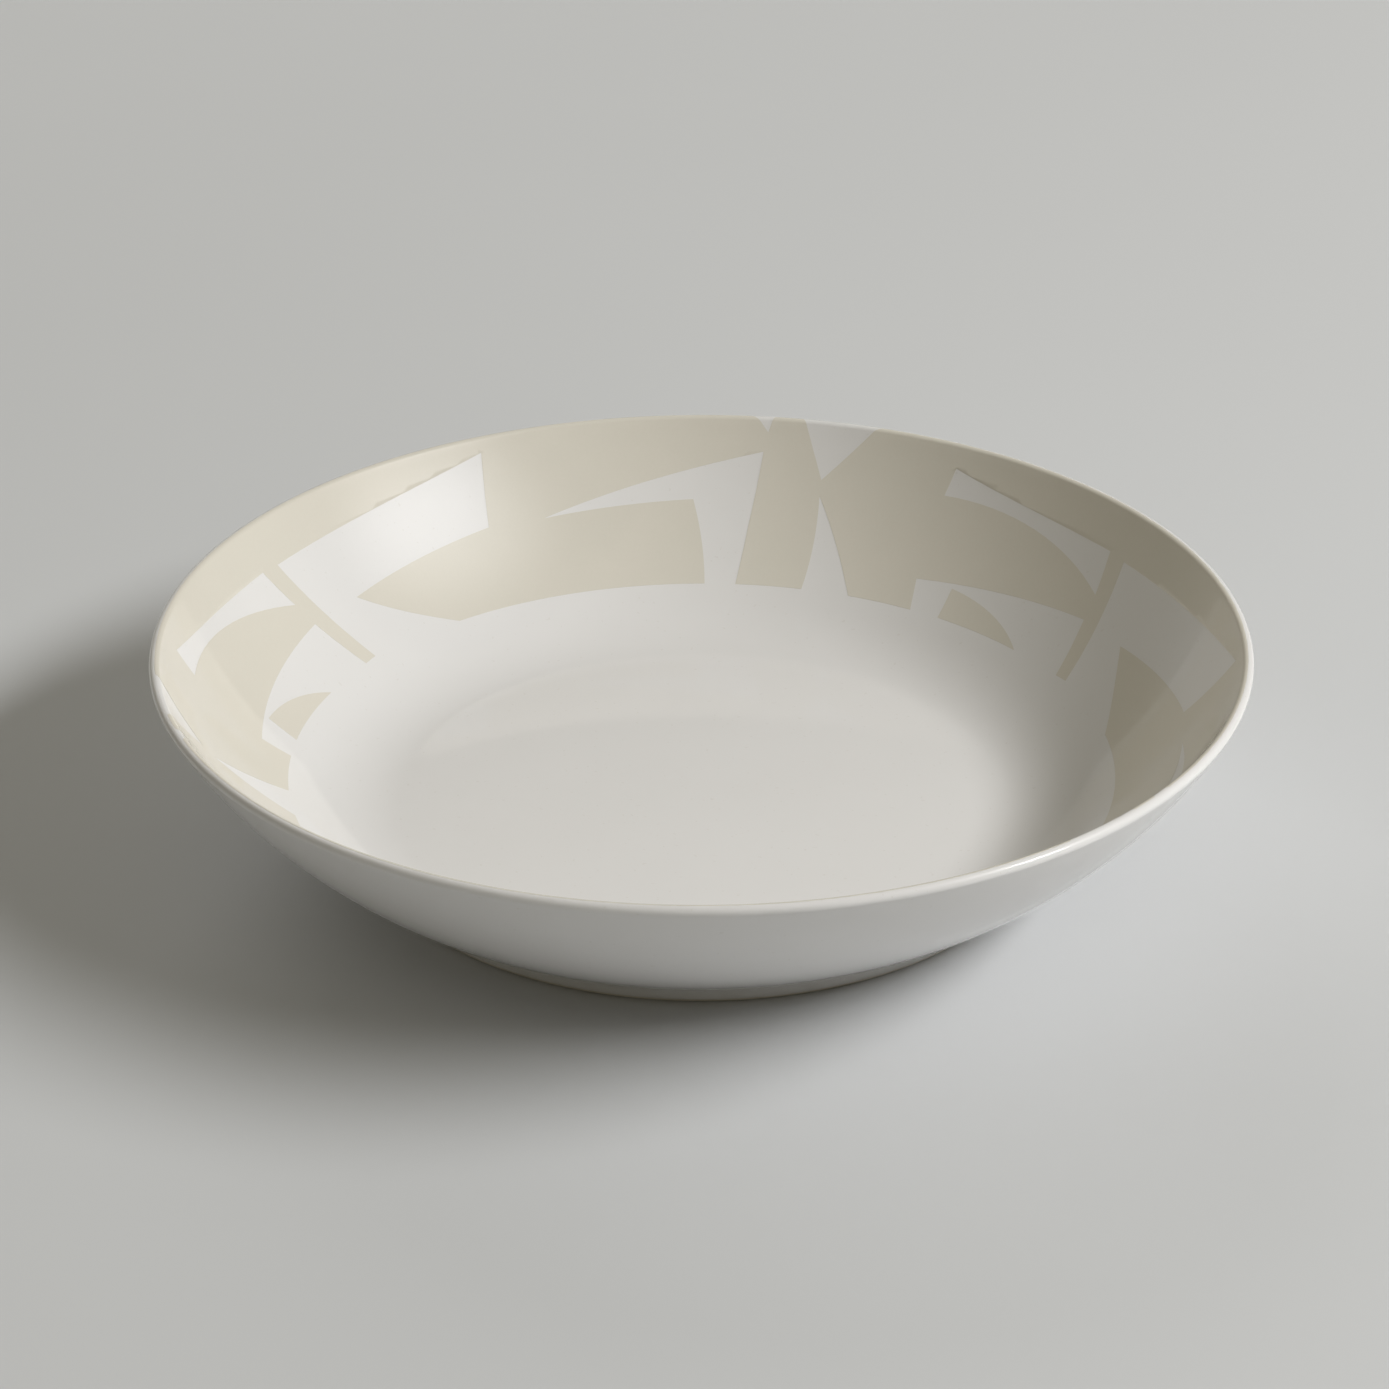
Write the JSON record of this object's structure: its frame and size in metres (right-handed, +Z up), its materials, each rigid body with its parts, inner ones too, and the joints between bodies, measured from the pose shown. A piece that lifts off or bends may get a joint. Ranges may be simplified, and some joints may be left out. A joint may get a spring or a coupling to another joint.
{
  "type": "serving bowl",
  "caption": "Low round porcelain serving bowl on a foot ring, with a printed band of cut-out shapes inside the wall.",
  "frame": {"origin": "centre of the foot ring's standing plane", "axes": "+Z up along the bowl's axis of revolution; -Y is the near side; the print repeats every 120 degrees about Z"},
  "size_m": [0.3, 0.3, 0.0606],
  "materials": {
    "bisque": "matt white porcelain body under the glaze",
    "bare_foot": "bare porcelain, ground smooth on its standing edge",
    "glaze": "clear glossy glaze over warm white porcelain",
    "print": "flat greige ceramic print, glossy"
  },
  "bodies": {
    "root": {"bowl_body": "bisque", "foot_ring": "bare_foot", "inside_glaze": "glaze", "outside_glaze": "glaze", "base_glaze": "glaze", "band_decal_1": "print", "band_decal_2": "print", "band_decal_3": "print", "slab_decal_1": "print", "slab_decal_2": "print", "slab_decal_3": "print", "leaf_decal_1": "print", "leaf_decal_2": "print", "leaf_decal_3": "print"}
  },
  "joints": []
}
